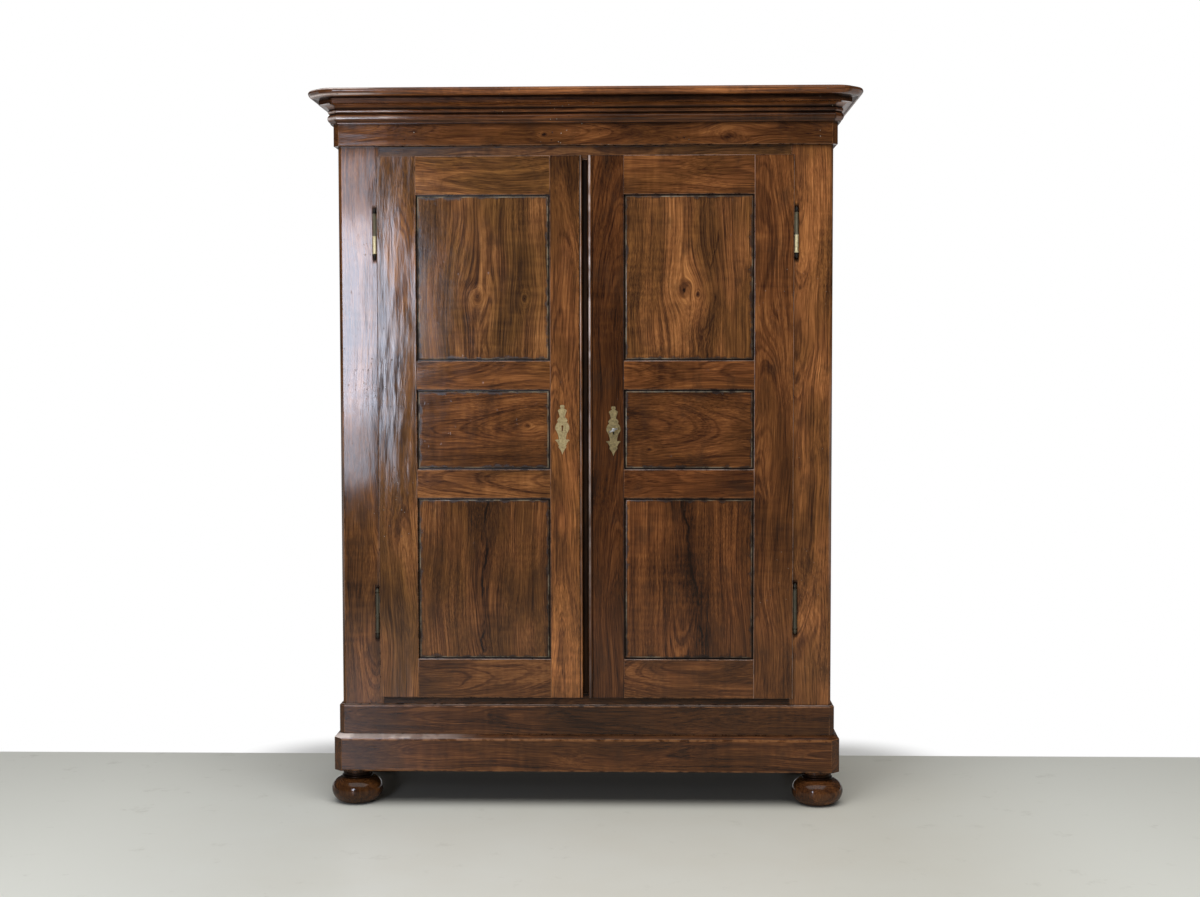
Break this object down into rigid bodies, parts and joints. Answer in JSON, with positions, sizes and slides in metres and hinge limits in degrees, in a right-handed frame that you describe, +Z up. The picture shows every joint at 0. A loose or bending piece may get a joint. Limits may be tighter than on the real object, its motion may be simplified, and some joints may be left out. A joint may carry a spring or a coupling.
{
  "type": "cupboard",
  "caption": "Free-standing cupboard with hinged panelled doors, a canted moulded cornice, stepped plinth and turned bun feet, closed by a key-operated rim lock.",
  "frame": {"origin": "on the floor, in the middle of the whole width and depth", "axes": "+X to the right seen from the front, +Y to the back, +Z up; the doors face -Y"},
  "size_m": [1.575, 0.5825, 2.05],
  "materials": {
    "walnut": "french-polished walnut, glossy, worn",
    "dark_walnut": "darker french-polished walnut, glossy, worn",
    "plain_wood": "unpolished pine of the inside and the back",
    "brass": "aged brass",
    "iron": "dark forged iron",
    "steel": "bright worn steel"
  },
  "bodies": {
    "carcass": {"back_boards": "plain_wood", "bottom_board": "plain_wood", "corner_blocks": "plain_wood", "cornice_corners": "dark_walnut", "cornice_front": "dark_walnut", "cornice_side_left": "dark_walnut", "cornice_side_right": "dark_walnut", "crown_back_rail": "plain_wood", "feet": "dark_walnut", "frieze_front": "dark_walnut", "frieze_sides": "dark_walnut", "front_rail_bottom": "walnut", "front_rail_top": "walnut", "front_stile_left": "walnut", "front_stile_right": "walnut", "left_hinge_frame_halves": "brass", "plinth_back_rail": "plain_wood", "plinth_lower_front": "dark_walnut", "plinth_lower_sides": "dark_walnut", "plinth_upper_front": "dark_walnut", "plinth_upper_sides": "dark_walnut", "right_hinge_frame_halves": "brass", "shelf_cleats": "plain_wood", "shelves": "plain_wood", "side_panels_left": "walnut", "side_panels_right": "walnut", "side_rails_left": "walnut", "side_rails_right": "walnut", "side_stiles_left": "walnut", "side_stiles_right": "walnut", "top_board": "plain_wood"},
    "left_door": {"bolt_keeper": "iron", "left_door_bottom_rail": "walnut", "left_door_hinge_stile": "walnut", "left_door_lower_panel": "walnut", "left_door_meeting_stile": "walnut", "left_door_middle_panel": "walnut", "left_door_middle_rails": "walnut", "left_door_top_rail": "walnut", "left_door_upper_panel": "walnut", "left_escutcheon": "brass", "left_hinge_door_halves": "brass", "slide_bolt_plates": "iron"},
    "right_door": {"lock_case": "iron", "right_door_bottom_rail": "walnut", "right_door_hinge_stile": "walnut", "right_door_lower_panel": "walnut", "right_door_meeting_stile": "walnut", "right_door_middle_panel": "walnut", "right_door_middle_rails": "walnut", "right_door_top_rail": "walnut", "right_door_upper_panel": "walnut", "right_escutcheon": "brass", "right_hinge_door_halves": "brass"},
    "key": {"key": "steel"},
    "lock_bolt": {"lock_bolt": "iron"},
    "top_bolt": {"top_bolt": "iron"},
    "bottom_bolt": {"bottom_bolt": "iron"}
  },
  "joints": [
    {"name": "left_door_hinge", "type": "hinge", "parent": "carcass", "child": "left_door", "pos_m": [-0.6006, -0.21535, 1], "axis": [0, 0, -1], "range_deg": [0, 165]},
    {"name": "right_door_hinge", "type": "hinge", "parent": "carcass", "child": "right_door", "pos_m": [0.6006, -0.21535, 1], "axis": [0, 0, 1], "range_deg": [0, 165]},
    {"name": "key_turn", "type": "hinge", "parent": "right_door", "child": "key", "pos_m": [0.081, -0.22075, 1.087], "axis": [0, -1, 0], "range_deg": [0, 130]},
    {"name": "lock_bolt_slide", "type": "slide", "parent": "right_door", "child": "lock_bolt", "axis": [-1, 0, 0], "range_m": [0, 0.022]},
    {"name": "top_bolt_slide", "type": "slide", "parent": "left_door", "child": "top_bolt", "axis": [0, 0, 1], "range_m": [0, 0.018]},
    {"name": "bottom_bolt_slide", "type": "slide", "parent": "left_door", "child": "bottom_bolt", "axis": [0, 0, -1], "range_m": [0, 0.018]}
  ],
  "couplings": [
    {"joint": "key_turn", "follows": "lock_bolt_slide", "rad_per_m": 103.13}
  ]
}
